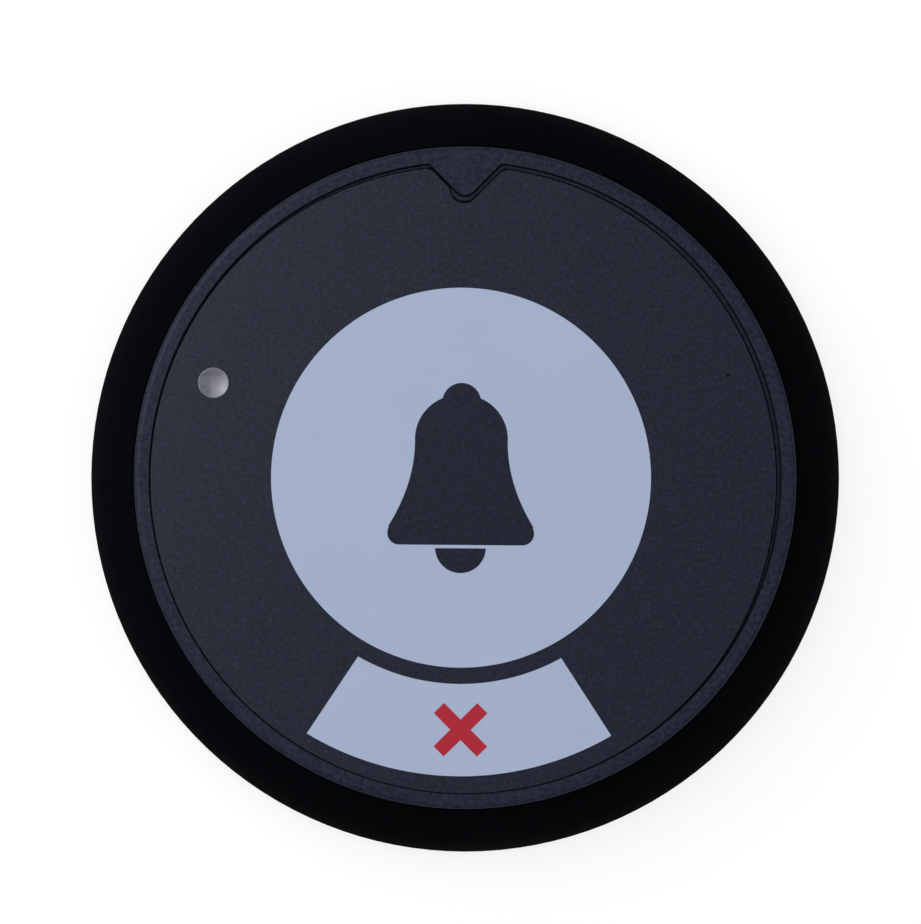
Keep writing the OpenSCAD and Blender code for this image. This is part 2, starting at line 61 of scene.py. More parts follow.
class Finish:
    """A material under construction: its nodes, and short ways to add and join them."""

    def __init__(self, name, **shader):
        self.material = bpy.data.materials.new(name)
        self.material.use_nodes = True
        self.tree = self.material.node_tree
        self.shader = self.tree.nodes["Principled BSDF"]
        for socket, value in shader.items():
            self.shader.inputs[socket.replace("_", " ")].default_value = value
        self.place = self.add("ShaderNodeTexCoord").outputs["Object"]

    def add(self, kind, **settings):
        """A new node of a kind, with its settings."""
        node = self.tree.nodes.new(kind)
        for key, value in settings.items():
            setattr(node, key, value)
        return node

    def put(self, value, socket):
        """Joins an output to a socket, or sets the socket to a plain value."""
        if isinstance(value, bpy.types.NodeSocket):
            self.tree.links.new(value, socket)
        else:
            socket.default_value = value

    def noise(self, width, detail=2.0, rough=0.5):
        """Smooth random field from 0 to 1 whose lumps are about width metres across."""
        node = self.add("ShaderNodeTexNoise")
        node.inputs["Scale"].default_value = 1 / width
        node.inputs["Detail"].default_value = detail
        node.inputs["Roughness"].default_value = rough
        self.put(self.place, node.inputs["Vector"])
        return node.outputs["Fac"]

    def cells(self, width):
        """Distance to the nearest of many scattered points about width metres apart."""
        node = self.add("ShaderNodeTexVoronoi")
        node.inputs["Scale"].default_value = 1 / width
        self.put(self.place, node.inputs["Vector"])
        return node.outputs["Distance"]

    def span(self, value, low, high, out_low=0.0, out_high=1.0):
        """Maps low..high of a value onto out_low..out_high, held at the ends."""
        node = self.add("ShaderNodeMapRange")
        self.put(value, node.inputs["Value"])
        for socket, number in zip(("From Min", "From Max", "To Min", "To Max"),
                                  (low, high, out_low, out_high), strict=True):
            node.inputs[socket].default_value = number
        return node.outputs["Result"]

    def swing(self, field, out_low=0.0, out_high=1.0):
        """Maps the usual range of a noise field, 0.3 to 0.7, onto out_low..out_high."""
        return self.span(field, 0.3, 0.7, out_low, out_high)

    def combine(self, first, second, operation="ADD"):
        """The sum of two values, or what another operation makes of them."""
        node = self.add("ShaderNodeMath", operation=operation)
        self.put(first, node.inputs[0])
        self.put(second, node.inputs[1])
        return node.outputs[0]

    def tint(self, share, first, second):
        """Colour that goes from first to second as share goes from 0 to 1. The Mix node
        has its two colour inputs at 6 and 7, and its colour output at 2."""
        node = self.add("ShaderNodeMix", data_type="RGBA")
        self.put(share, node.inputs["Factor"])
        self.put((*first, 1) if isinstance(first, tuple) else first, node.inputs[6])
        self.put((*second, 1) if isinstance(second, tuple) else second, node.inputs[7])
        return node.outputs[2]

    def relief(self, height, depth):
        """Bump whose height field, 0 to 1, stands depth metres high."""
        node = self.add("ShaderNodeBump")
        node.inputs["Distance"].default_value = depth
        self.put(height, node.inputs["Height"])
        return node.outputs["Normal"]

    def wear(self, colour, rough, normal):
        """Gives the shader its colour, roughness and normal, and returns the material."""
        self.put(colour, self.shader.inputs["Base Color"])
        self.put(rough, self.shader.inputs["Roughness"])
        self.put(normal, self.shader.inputs["Normal"])
        return self.material


def coat(material, *names):
    """Gives CAD nodes one material in place of what they came with."""
    for name in names:
        nodes[name].data.materials.clear()
        nodes[name].data.materials.append(material)


def shade(colour, factor):
    """A colour made lighter or darker by a factor."""
    return tuple(channel * factor for channel in colour)


def foam_tape():
    """White foam, pitted by its pores, that greys slightly in clouds and in the pores."""
    white, grey = (0.78, 0.77, 0.73), 0.72
    pore, pore_depth, cloud = 0.25 * mm, 0.04 * mm, 6 * mm
    skin = Finish("foam_tape", Specular_IOR_Level=0.2)
    pores = skin.span(skin.cells(pore), 0.1, 0.5)
    drift = skin.noise(cloud)
    greyed = skin.combine(skin.span(pores, 0, 1, 0.25, 0), skin.swing(drift, 0, 0.3))
    return skin.wear(skin.tint(greyed, white, shade(white, grey)), skin.swing(drift, 0.8, 0.95),
                     skin.relief(pores, pore_depth))


coat(foam_tape(), "adhesive_disc")

# ---------------------------------------------------------------------------
# Mounting base: black ABS plate that is stuck or screwed down, moulded with
# three lugs that the housing turns onto. It has a medium grain.
# ---------------------------------------------------------------------------


def moulded(name, colour, rough, grain, depth, specular, fleck=0.12, spots=0.0):
    """Moulded plastic or velvet film, whose surface is a grain of the given width and depth
    in metres. The colour drifts slowly and is flecked, by the share fleck, in lumps wider
    than the grain. Handling has polished it in soft patches. Spots is the strength of its
    few light and dark grains, and with them the hue goes from purplish to greenish."""
    drift_w, patch_w, hue_w, lump_w = 14 * mm, 9 * mm, 1.3 * mm, grain * 2.4
    light_grains, dark_grains = (0.8 * mm, 3.0), (0.7 * mm, 0.1)
    drift_share, hue_share, polish = 0.06, 0.7, 0.07
    skin = Finish(name, Specular_IOR_Level=specular)
    pits = skin.noise(grain, 3, 0.6)
    handled = skin.span(skin.noise(patch_w, 4, 0.6), 0.5, 0.75)
    toned = skin.tint(skin.swing(skin.noise(drift_w)), shade(colour, 1 - drift_share),
                      shade(colour, 1 + drift_share))
    if spots:
        red, green, blue = colour
        purplish = (1.2 * red, 0.9 * green, 1.1 * blue)
        greenish = (0.8 * red, 1.1 * green, 0.9 * blue)
        hue = skin.tint(skin.span(skin.noise(hue_w, 3), 0.42, 0.58), purplish, greenish)
        toned = skin.tint(hue_share, toned, hue)
    lumps = skin.span(skin.noise(lump_w, 3, 0.65), 0.36, 0.64)
    speckle = skin.tint(lumps, shade(colour, 1 - fleck), shade(colour, 1 + fleck))
    flecked = skin.tint(0.5, toned, speckle)
    if spots:
        for apart, tone in (light_grains, dark_grains):
            near = skin.span(skin.cells(apart), 0.08, 0.24, spots, 0)
            flecked = skin.tint(near, flecked, shade(colour, tone))
    matt = skin.combine(skin.swing(pits, rough - 0.05, rough + 0.05),
                        skin.span(handled, 0, 1, 0, -polish))
    return skin.wear(flecked, matt, skin.relief(pits, depth))


coat(moulded("base_black", (0.012, 0.0125, 0.014), rough=0.55, grain=0.3 * mm,
             depth=0.02 * mm, specular=0.35), "mounting_base")

# ---------------------------------------------------------------------------
# Base seal: a black rubber cord in the plate's groove. It is slightly dusty
# and has the faint sheen of moulded silicone.
# ---------------------------------------------------------------------------


def seal_rubber():
    """Black rubber, with pale dust that gathers in clouds and dulls it."""
    black, dust_grey = (0.016, 0.016, 0.017), (0.06, 0.058, 0.055)
    cloud, most, pit, pit_depth = 1.2 * mm, 0.6, 0.4 * mm, 0.01 * mm
    skin = Finish("seal_rubber", Specular_IOR_Level=0.4)
    dust = skin.span(skin.noise(cloud, 5, 0.7), 0.55, 0.8, 0, most)
    return skin.wear(skin.tint(dust, black, dust_grey), skin.span(dust, 0, most, 0.4, 0.75),
                     skin.relief(skin.noise(pit), pit_depth))


coat(seal_rubber(), "base_seal")

# ---------------------------------------------------------------------------
# Lower housing: the black ring round the button, moulded in ABS with a soft
# matt skin that gives back almost no light. It turns onto the plate's lugs.
# ---------------------------------------------------------------------------

coat(moulded("ring_black", (0.0016, 0.0020, 0.0029), rough=0.9, grain=0.22 * mm,
             depth=0.012 * mm, specular=0.004, fleck=0.3), "base_housing")

# ---------------------------------------------------------------------------
# Sheet metal of the switches, contacts, leads, crystal and coin cell: nickel-
# plated or tinned steel, stamped, with fine scratches and a little staining.
# ---------------------------------------------------------------------------


def plated_steel(name, colour, rough):
    """Bare metal, with stains that darken and dull it and with fine scratches."""
    stain_w, stain_tone, scratch_w, scratch_depth = 1.5 * mm, 0.72, 0.08 * mm, 0.002 * mm
    skin = Finish(name, Metallic=1.0)
    stain = skin.span(skin.noise(stain_w, 4), 0.45, 0.75)
    scratch = skin.noise(scratch_w, 2)
    dull = skin.combine(skin.swing(scratch, rough, rough + 0.15), skin.span(stain, 0, 1, 0, 0.1))
    return skin.wear(skin.tint(stain, colour, shade(colour, stain_tone)), dull,
                     skin.relief(scratch, scratch_depth))


nickel = plated_steel("nickel_plate", (0.62, 0.62, 0.6), rough=0.25)
coat(nickel, "case_screws", "call_switch_cover", "cancel_switch_cover", "call_switch_dome",
     "cancel_switch_dome", "positive_contact", "negative_contact", "radio_crystal")
coat(plated_steel("tinned_leads", (0.7, 0.7, 0.7), rough=0.35),
     "controller_leads", "call_switch_legs", "cancel_switch_legs")
coat(plated_steel("battery_can", (0.66, 0.66, 0.67), rough=0.2), "battery_cell")

# ---------------------------------------------------------------------------
# Case screws: four self-tapping screws put in from below, with a rounded head,
# a cross recess and a coarse rolled thread that bites into the cover's bosses.
# ---------------------------------------------------------------------------


def full_turn(step):
    """Angles all the way round, step degrees apart."""
    return np.radians(np.arange(0, 360, step))


def numbered(grid):
    """The index of each point of a grid, row by row."""
    return np.arange(grid.size).reshape(grid.shape)


def quads(index, wrap=False):
    """Four-cornered faces between neighbouring rows and columns of a grid of indices."""
    right = np.roll(index, -1, 1) if wrap else index[:, 1:]
    left = index if wrap else index[:, :-1]
    return np.stack([left[:-1], left[1:], right[1:], right[:-1]], -1).reshape(-1, 4)


def fan(middle, ring):
    """Triangles from one point to each pair of neighbours round a ring of indices."""
    return np.stack([np.full(ring.size, middle), ring, np.roll(ring, -1)], -1)


def mesh_piece(name, points, faces, material, smooth=False):
    """A new mesh object from points in metres and lists of faces."""
    mesh = bpy.data.meshes.new(name)
    corners = [face for part in faces for face in np.asarray(part).tolist()]
    mesh.from_pydata(points.tolist(), [], corners)
    mesh.polygons.foreach_set("use_smooth", np.full(len(mesh.polygons), smooth))
    mesh.materials.append(material)
    piece = bpy.data.objects.new(name, mesh)
    bpy.context.scene.collection.objects.link(piece)
    return piece


def turned(radius, height, turns, first, last):
    """Points and faces of a round solid. Row i of the grid has its points at radius[i] and
    height[i], each of which may vary round the turn; first and last are the heights at
    which the solid closes on its axis."""
    shape = (len(radius), turns.size)
    radius, height = np.broadcast_to(radius, shape), np.broadcast_to(height, shape)
    grid = np.stack([radius * np.cos(turns), radius * np.sin(turns), height], -1)
    points = np.concatenate([grid.reshape(-1, 3), [(0, 0, first), (0, 0, last)]])
    index = numbered(radius)
    end = fan(index.size + 1, index[-1])[:, [0, 2, 1]]
    return points, [fan(index.size, index[0]), quads(index, wrap=True), end]


def case_screw():
    """One screw, tip up. The thread's radius at a height is a ridge that comes round once
    a pitch, |2 frac(height / pitch - turn) - 1| cubed, which fades out at both ends. The
    head's face draws back towards its rim by edge_h times (r / head_r)^2.4, and its recess
    is a cross of two bars that get narrower as they get deeper."""
    turns = full_turn(7.5)
    tip, tip_l, core, ridge, pitch = 0.35 * mm, 0.8 * mm, 0.74 * mm, 0.26 * mm, 0.9 * mm
    edge_h, edge_break = 0.45 * mm, 0.06 * mm
    recess_t, bar_w, bar_l, bar_end = 0.55 * mm, 0.3 * mm, 1.05 * mm, 0.25 * mm
    up = np.linspace(0, 1, 118)[:, None]
    height = shaft_top - up * (shaft_top - shaft_low)
    phase = height / pitch - turns / (2 * math.pi)
    sharp = np.abs(2 * (phase - np.floor(phase)) - 1) ** 3
    fade_top = np.clip((shaft_top - height) / pitch, 0, 1)
    fade_low = np.clip((height - shaft_low) / pitch - 0.4, 0, 1)
    taper = tip + (core - tip) * np.sqrt(np.clip((shaft_top - height) / tip_l, 0, 1))
    shaft = taper + ridge * sharp * (fade_top * fade_low)
    under = np.array([[head_r * 0.96, shaft_low], [head_r, shaft_low - edge_break],
                      [head_r, head_low + edge_h]])
    dome = np.linspace(0.985, 0.02, 30)[:, None] * head_r
    bulge = head_low + edge_h * (dome / head_r) ** 2.4
    across, along = np.abs(dome * np.cos(turns)), np.abs(dome * np.sin(turns))
    arm = np.maximum(across, along)
    side = np.minimum(across, along)
    recess = np.clip(1 - side / bar_w, 0, 1) ** 0.35 * np.clip((bar_l - arm) / bar_end, 0, 1)
    face = bulge + recess_t * recess
    radius = np.concatenate([shaft, np.broadcast_to(under[:, :1], (len(under), turns.size)),
                             np.broadcast_to(dome, face.shape)])
    level = np.concatenate([np.broadcast_to(height, shaft.shape),
                            np.broadcast_to(under[:, 1:], (len(under), turns.size)), face])
    return turned(radius, level, turns, shaft_top, head_low + recess_t)


screw_low, screw_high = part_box("case_screws")
head_low, shaft_top = screw_low.z, screw_high.z
head_r, head_h = 1.8 * mm, 1.3 * mm
shaft_low = head_low + head_h
boss_ring_r = 22.6 * mm
stations = np.radians([40, 140, 220, 320])
points, faces = case_screw()
places = np.stack([np.cos(stations), np.sin(stations), np.zeros(len(stations))], -1) * boss_ring_r
screw_points = (places[:, None] + points[None]).reshape(-1, 3)
screw_faces = [part + step * len(points) for step in range(len(stations)) for part in faces]
screws = mesh_piece("case_screw_set", screw_points, screw_faces, nickel, smooth=True)
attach(screws, "housing")
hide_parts("case_screws")

# ---------------------------------------------------------------------------
# Snap domes: a cap of thin spring steel in each switch. The stem presses its
# crown nearly flat while its rim stays on the floor of the switch's well.
# ---------------------------------------------------------------------------


def ease(t):
    """Smooth step: 0 below 0, 1 above 1, and 3t^2 - 2t^3 between."""
    t = np.clip(t, 0, 1)
    return t * t * (3 - 2 * t)


def snap_dome(name, replaced):
    """Spherical cap of radius (r^2 + rise^2) / (2 rise), as thick as the CAD's, made as an
    outer and an inner face that meet at the rim."""
    low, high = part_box(replaced)
    x, y = (low.x + high.x) / 2, (low.y + high.y) / 2
    rise = high.z - low.z - dome_t
    r = (high.x - low.x) / 2
    ball = (r * r + rise * rise) / (2 * rise)
    out = np.linspace(0.06, 1, 16)[:, None] * (r - dome_t / 2)
    crown = high.z - dome_t - ball
    outer = crown + np.sqrt((ball + dome_t) ** 2 - out**2)
    inner = crown + np.sqrt(ball**2 - out[::-1] ** 2)
    points, faces = turned(np.concatenate([out, out[::-1]]), np.concatenate([outer, inner]),
                           full_turn(7.5), high.z, high.z - dome_t)
    dome = mesh_piece(name, points + np.array([x, y, 0]), faces, nickel, smooth=True)
    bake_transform(dome)
    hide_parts(replaced)


dome_t = 0.1 * mm
snap_dome("call_snap_dome", "call_switch_dome")
snap_dome("cancel_snap_dome", "cancel_switch_dome")

# ---------------------------------------------------------------------------
# Circuit board: green solder mask over glass laminate, with its weave just
# showing. The antenna is a bare copper loop etched round its edge.
# ---------------------------------------------------------------------------


def solder_mask():
    """Glossy green lacquer, lighter and raised where the weave's two waves both crest."""
    green, light = (0.008, 0.11, 0.04), 1.6
    weave_w, weave_depth, cloud = 2.4 * mm, 0.004 * mm, 5 * mm
    skin = Finish("solder_mask", Specular_IOR_Level=0.5, Coat_Weight=0.4, Coat_Roughness=0.15)
    waves = []
    for direction in ("X", "Y"):
        wave = skin.add("ShaderNodeTexWave", bands_direction=direction)
        wave.inputs["Scale"].default_value = 1 / weave_w
        skin.put(skin.place, wave.inputs["Vector"])
        waves.append(wave.outputs["Fac"])
    weave = skin.combine(*waves, operation="MULTIPLY")
    return skin.wear(skin.tint(skin.span(weave, 0, 1, 0, 0.35), green, shade(green, light)),
                     skin.swing(skin.noise(cloud), 0.25, 0.4), skin.relief(weave, weave_depth))


coat(solder_mask(), "circuit_board")
coat(plated_steel("etched_copper", (0.7, 0.32, 0.16), rough=0.3), "antenna_track")

# ---------------------------------------------------------------------------
# Chips, switch bodies and battery holder: moulded black epoxy and glass-filled
# nylon, dull and finely pitted. The capacitors are fired ceramic, and the lamp
# is a milky epoxy block.
# ---------------------------------------------------------------------------

coat(moulded("epoxy_black", (0.02, 0.02, 0.022), rough=0.6, grain=0.12 * mm,
             depth=0.008 * mm, specular=0.4),
     "controller_chip", "radio_chip", "chip_resistors", "call_switch_base",
     "cancel_switch_base", "call_switch_stem", "cancel_switch_stem", "battery_holder")
coat(moulded("capacitor_tan", (0.42, 0.27, 0.13), rough=0.45, grain=0.1 * mm,
             depth=0.004 * mm, specular=0.4), "chip_capacitors")
coat(moulded("lamp_resin", (0.8, 0.76, 0.62), rough=0.3, grain=0.4 * mm,
             depth=0.003 * mm, specular=0.5), "indicator_led")

# ---------------------------------------------------------------------------
# Keys: two natural-white ABS plates hidden under the film, moulded with a fine
# grain. Hooks hold them below the cover, and each has a post over its switch.
# ---------------------------------------------------------------------------

coat(moulded("key_white", (0.6, 0.62, 0.64), rough=0.45, grain=0.3 * mm,
             depth=0.008 * mm, specular=0.45, fleck=0.03), "call_key", "cancel_key")

# ---------------------------------------------------------------------------
# Top cover: dark blue-grey ABS with a fine satin grain, moulded with the
# pocket for the film and the V-shaped tooth that locates it.
# ---------------------------------------------------------------------------

coat(moulded("cover_grey", (0.0131, 0.0160, 0.0296), rough=0.55, grain=0.17 * mm,
             depth=0.014 * mm, specular=0.035, fleck=0.75), "top_cover")

# ---------------------------------------------------------------------------
# Overlay film: one die-cut sheet of velvet polycarbonate, glued into the
# pocket slightly low, to the left and turned. A scrape bares its black core,
# and its rolled edge is painted in that black as shade along the film's edge.
# ---------------------------------------------------------------------------

film_low, film_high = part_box("overlay_film")
film_top = film_high.z
film_t = film_high.z - film_low.z
film_shift = np.array([-0.20, -0.12]) * mm
film_turn = math.radians(-0.45)
film_r = 29.36 * mm
film_swell = 0.19 * mm
swell_side = math.radians(300)
notch_apex = np.array([0.18, 25.77]) * mm
notch_round = 0.7 * mm
notch_half = math.radians(12)
notch_punch = np.array([-0.17, 27.36]) * mm
notch_punch_r = 1.3 * mm
foot_round = 0.6 * mm
roll_w = np.array([0, 0.05, 0.11, 0.15, 0.17]) * mm
roll_h = 0.09 * mm
roll_z = roll_h * (1 - np.sqrt(1 - np.linspace(0, 0.97, len(roll_w)) ** 2))
flank_stretch, swell_shrink = 2.0, 0.25
split_r = 18.5 * mm
split_deg = 33
split_half = math.radians(split_deg)
down = -math.pi / 2
window_at = np.array([-23.555, 8.875]) * mm
window_r = 1.5 * mm
call_firm_r = 16.9 * mm
sector_apex = 2.34 * mm
sector_side = math.radians(33.3)
cancel_r_in, cancel_r_out = 19.1 * mm, 28.1 * mm
opening_gap = 0.2 * mm
soft_w = 1.0 * mm


def call_press(x, y):
    """How far the film follows the call key: wholly up to call_firm_r, and not at all
    beyond the soft border round it."""
    return 1 - ease((np.hypot(x, y) - call_firm_r) / soft_w)


def cancel_press(x, y):
    """The same for the cancel key, by the depth inside its opening, a ring sector."""
    apex = -sector_apex + opening_gap / math.sin(sector_side)
    r = np.hypot(x, y)
    inside = -(np.abs(x) * math.cos(sector_side) + (y - apex) * math.sin(sector_side))
    depth = np.minimum(np.minimum(r - cancel_r_in, cancel_r_out - r), inside)
    return ease(depth / soft_w)


def round_on_line(angle, centre_x, centre_y, round_r, side):
    """Where a line from the middle meets a circle of radius round_r: at d + side *
    sqrt(round_r^2 - h^2), where d is the centre's distance along the line, h its distance
    from the line, and side is -1 for the near and 1 for the far meeting."""
    along = centre_x * np.cos(angle) + centre_y * np.sin(angle)
    aside = centre_y * np.cos(angle) - centre_x * np.sin(angle)
    return along + side * np.sqrt(np.clip(round_r**2 - aside**2, 0, None))


def notched_circle(angle, radius, apex, fillet):
    """Distance from the middle to a circle with a V notch at the top. The notch's flanks
    run at 45 degrees from its apex. A round of the fillet's radius joins them there, with
    its centre root two radii above the apex, and one of foot_round joins each flank to
    the circle from inside: its centre lies foot_round from both."""
    x, y = apex
    run, rise = np.cos(angle), np.sin(angle)
    with np.errstate(divide="ignore"):
        notch = np.maximum((y - x) / (rise - run), (y + x) / (rise + run))
    arc = round_on_line(angle, x, y + fillet * math.sqrt(2), fillet, -1)
    tip = np.abs(arc * run - x) < fillet * math.sqrt(0.5)
    notch = np.where(tip, arc, notch)
    at_notch = np.abs(angle - math.pi / 2) < notch_half
    reach = np.where(at_notch, np.minimum(notch, radius), radius)
    for apex_x, turn in ((x, angle), (-x, math.pi - angle)):
        across = apex_x - y + foot_round * math.sqrt(2)
        up = (math.sqrt(2 * (radius - foot_round) ** 2 - across**2) - across) / 2
        touch = foot_round * math.sqrt(0.5)
        low, high = math.atan2(up, up + across), math.atan2(up + touch, up + across - touch)
        foot = round_on_line(turn, up + across, up, foot_round, 1)
        reach = np.where((turn > low) & (turn < high), foot, reach)
    return reach


def fullness(angle):
    """The film's die cuts a little full at the lower right: the squared cosine of the
    angle from swell_side, on that side only."""
    return np.clip(np.cos(angle - swell_side), 0, None) ** 2


def film_edge(angle):
    """The film's outline: the notched circle, with film_swell more where it is full. The
    notch ends in a punched round of notch_punch_r, which takes its edge further in."""
    cut = notched_circle(angle, film_r, notch_apex, notch_round) + film_swell * fullness(angle)
    x, y = notch_punch
    aside = y * np.cos(angle) - x * np.sin(angle)
    punch = round_on_line(angle, x, y, notch_punch_r, -1)
    met = (np.abs(aside) < notch_punch_r) & (np.sin(angle) > 0)
    return np.where(met, np.minimum(cut, punch), cut)


def rolled_edge(angle):
    """Where the flat of the film ends, and how far beyond it each row of the roll is. Both
    are measured along a radius, so the roll is wider on the notch's slanting flanks. It is
    narrower where the film is full."""
    reach = film_edge(angle)
    stretch = np.where(reach < film_r, flank_stretch, 1 - swell_shrink * fullness(angle))
    roll = roll_w[:, None] * stretch
    return reach - roll[-1], roll


def rolled_level(shape):
    """Height of each point of a sheet of film, which falls by roll_z over its last rows."""
    level = np.full(shape, film_top)
    level[-len(roll_w):] -= roll_z[:, None]
    return level


def thicken(piece, depth):
    """Gives a sheet its thickness, downwards from the face."""
    wall = piece.modifiers.new("thickness", "SOLIDIFY")
    wall.thickness = depth
    wall.offset = -1


def flex(piece, share):
    """Bakes the piece's transform; the share by which each point would follow a key is not used.
    """
    points = np.empty(len(piece.data.vertices) * 3)
    piece.data.vertices.foreach_get("co", points)
    x, y = points[0::3], points[1::3]
    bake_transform(piece)
    share(x, y).astype(np.float32)


def to_button(x, y, shift, turn):
    """Turns and shifts points of the printed film into the button's own frame."""
    cosine, sine = math.cos(turn), math.sin(turn)
    return cosine * x - sine * y + shift[0], sine * x + cosine * y + shift[1]


def round_angles(first, step):
    """Angles of a whole turn from first degrees, one apart, and step apart at the notch."""
    degrees = np.concatenate([np.arange(first, first + 360, 1.0), np.arange(80, 100, step)])
    return np.radians(np.unique(np.round(degrees, 3)))


def main_sheet(material):
    """Film over the call key and all round it: a disc of rings, then a ring that leaves
    out the part below, and a round hole for the light window."""
    angles = round_angles(split_deg - 90, 0.15)
    # The disc's rings lie close together where the film bends at the call key's border
    soft_rings = np.arange(16.7, 18.15, 0.1)
    disc = np.append(np.concatenate([[2, 5, 8, 11, 14, 16], soft_rings]) * mm, split_r)
    inner = np.broadcast_to(disc[:, None], (len(disc), len(angles)))
    # Those beyond lie at shares of the way to the edge, and close together at the window
    before_window, after_window = [0.12, 0.25], [0.9, 1.0]
    beside_window = np.linspace(0.4, 0.8, 11)
    steps = np.concatenate([before_window, beside_window, after_window])[:, None]
    edge, roll = rolled_edge(angles)
    radius = np.concatenate([inner, split_r + steps * (edge - split_r), edge + roll[1:]])
    x, y = to_button(radius * np.cos(angles), radius * np.sin(angles), film_shift, film_turn)
    index = numbered(x)
    open_columns = np.degrees(angles) <= 270 - split_deg + 0.01
    ring = index[len(disc) - 1:, open_columns]
    # The block of faces round the light window gives way to a round hole
    columns = np.degrees(angles[open_columns])
    towards, block_half = np.degrees(np.arctan2(window_at[1], window_at[0])) % 360, 6
    start, stop = np.searchsorted(columns, [towards - block_half, towards + block_half])
    near = 1 + len(before_window)
    far = near + len(beside_window) - 1
    keep = np.ones((ring.shape[0] - 1, ring.shape[1] - 1), bool)
    keep[near:far, start:stop] = False
    ring_faces = quads(ring).reshape(*keep.shape, 4)[keep]
    border = np.concatenate([ring[near:far, start], ring[far, start:stop],
                             ring[far:near:-1, stop], ring[near, stop:start:-1]])
    # Loops run from the round hole out to the block's border, and crowd at the hole
    border_x, border_y = x.ravel()[border], y.ravel()[border]
    distance = np.hypot(border_x - window_at[0], border_y - window_at[1])
    hole_x = window_at[0] + (border_x - window_at[0]) * window_r / distance
    hole_y = window_at[1] + (border_y - window_at[1]) * window_r / distance
    share = np.linspace(0, 1, 6)[:-1, None] ** 1.4
    loop_x, loop_y = hole_x + share * (border_x - hole_x), hole_y + share * (border_y - hole_y)
    loops = np.concatenate([numbered(loop_x) + x.size + 1, border[None]])
    middle = to_button(np.zeros(1), np.zeros(1), film_shift, film_turn)
    all_x = np.concatenate([x.ravel(), middle[0], loop_x.ravel()])
    all_y = np.concatenate([y.ravel(), middle[1], loop_y.ravel()])
    level = np.concatenate([rolled_level(x.shape).ravel(), np.full(1 + loop_x.size, film_top)])
    points = np.stack([all_x, all_y, level], -1)
    faces = [fan(x.size, index[0]), quads(index[: len(disc)], wrap=True), ring_faces,
             quads(loops, wrap=True)]
    return mesh_piece("film_main", points, faces, material)


def lower_sheet(material):
    """Film over the cancel key: the ring sector that the main sheet leaves out."""
    angles = np.linspace(down - split_half, down + split_half, 265)
    edge, roll = rolled_edge(angles)
    inner = split_r + np.linspace(0, 1, 90)[:, None] * (edge - split_r)
    radius = np.concatenate([inner, edge + roll[1:]])
    x, y = to_button(radius * np.cos(angles), radius * np.sin(angles), film_shift, film_turn)
    points = np.stack([x, y, rolled_level(x.shape)], -1).reshape(-1, 3)
    return mesh_piece("film_lower", points, [quads(numbered(x))], material)


def paint_edge_shade(piece, core):
    """Paints the rolled edge, below the flat, in the core's black as shade along the film's edge.
    """
    sheet = piece.data
    sheet.materials.append(core)
    level = np.empty(len(sheet.vertices) * 3)
    sheet.vertices.foreach_get("co", level)
    low = film_top - level[2::3] > edge_shade_drop
    corners = np.empty(len(sheet.loops), np.int32)
    sheet.loops.foreach_get("vertex_index", corners)
    starts = np.empty(len(sheet.polygons), np.int32)
    sheet.polygons.foreach_get("loop_start", starts)
    bare = np.maximum.reduceat(low[corners], starts)
    sheet.polygons.foreach_set("material_index", bare.astype(np.int32))
    thicken(piece, film_t)
    piece.modifiers["thickness"].material_offset_rim = 1


def scrape(name, x, y, half_l, half_w, turn, core):
    """A small scrape that bares the film's core: a strip whose half width is half_w times
    1 - u^2 along its length, with u from -1 to 1, and that stands up at its middle."""
    u, v = np.meshgrid(np.linspace(-1, 1, 17), np.linspace(-1, 1, 7))
    along, across = half_l * u, half_w * (1 - u**2) * v
    rise = scrape_rise * (0.2 + (1 - u**2) * (1 - v**2))
    px, py = to_button(along, across, (x, y), turn)
    points = np.stack([px, py, film_top + rise], -1).reshape(-1, 3)
    piece = mesh_piece(name, points, [quads(numbered(u))[:, ::-1]], core)
    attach(piece, "housing")


film_grey = (0.0054, 0.0084, 0.0192)
velvet_rough, velvet_grain, velvet_depth = 0.5, 0.15 * mm, 0.010 * mm
velvet = moulded("film_velvet", film_grey, velvet_rough, velvet_grain, velvet_depth,
                 specular=0.08, fleck=0.95, spots=0.5)
# The film's black core, also used as painted shade on the film's rolled edge.
core_and_edge_shade = moulded("film_core_and_edge_shade", (0.0012, 0.0016, 0.0032), rough=0.8, grain=0.1 * mm,
                     depth=0.004 * mm, specular=0.015, fleck=0.2)
# How far below the flat the rolled edge starts to be painted black as shade.
edge_shade_drop = 0.005 * mm
film_main = main_sheet(velvet)
film_lower = lower_sheet(velvet)
paint_edge_shade(film_main, core_and_edge_shade)
paint_edge_shade(film_lower, core_and_edge_shade)
flex(film_main, call_press)
flex(film_lower, cancel_press)
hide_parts("overlay_film")
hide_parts("overlay_film")
scrape_rise = 0.01 * mm
scrape("film_scrape", x=24.55 * mm, y=9.6 * mm, half_l=0.32 * mm, half_w=0.085 * mm,
       turn=math.radians(42), core=core_and_edge_shade)

# ---------------------------------------------------------------------------
# Shadow line: painted shade, a small black fillet along the foot of the pocket's
# wall and round its tooth, in the shape of squeezed-out black adhesive.
# ---------------------------------------------------------------------------

pocket_r = 29.65 * mm
tooth_tip = (0, 26.076 * mm)
tooth_round = 1.0 * mm
shadow_line_section = np.array([(-0.02, -0.02), (-0.02, 0.37), (0.02, 0.34), (0.06, 0.2), (0.12, 0.09),
                         (0.2, 0.03), (0.24, -0.02)]) * mm


def wall_shadow_fillet(angles, section):
    """Closed tube along the pocket's wall. The section's first number is the distance in
    from the wall, square to it, and the second the height above the pocket's floor."""
    reach = notched_circle(angles, pocket_r, tooth_tip, tooth_round)
    x, y = reach * np.cos(angles), reach * np.sin(angles)
    dx, dy = np.roll(x, -1) - np.roll(x, 1), np.roll(y, -1) - np.roll(y, 1)
    length = np.hypot(dx, dy)
    inward_x, inward_y = -dy / length, dx / length
    px = x + section[:, :1] * inward_x
    py = y + section[:, :1] * inward_y
    pz = film_low.z + np.broadcast_to(section[:, 1:], px.shape)
    return np.stack([px, py, pz], -1)
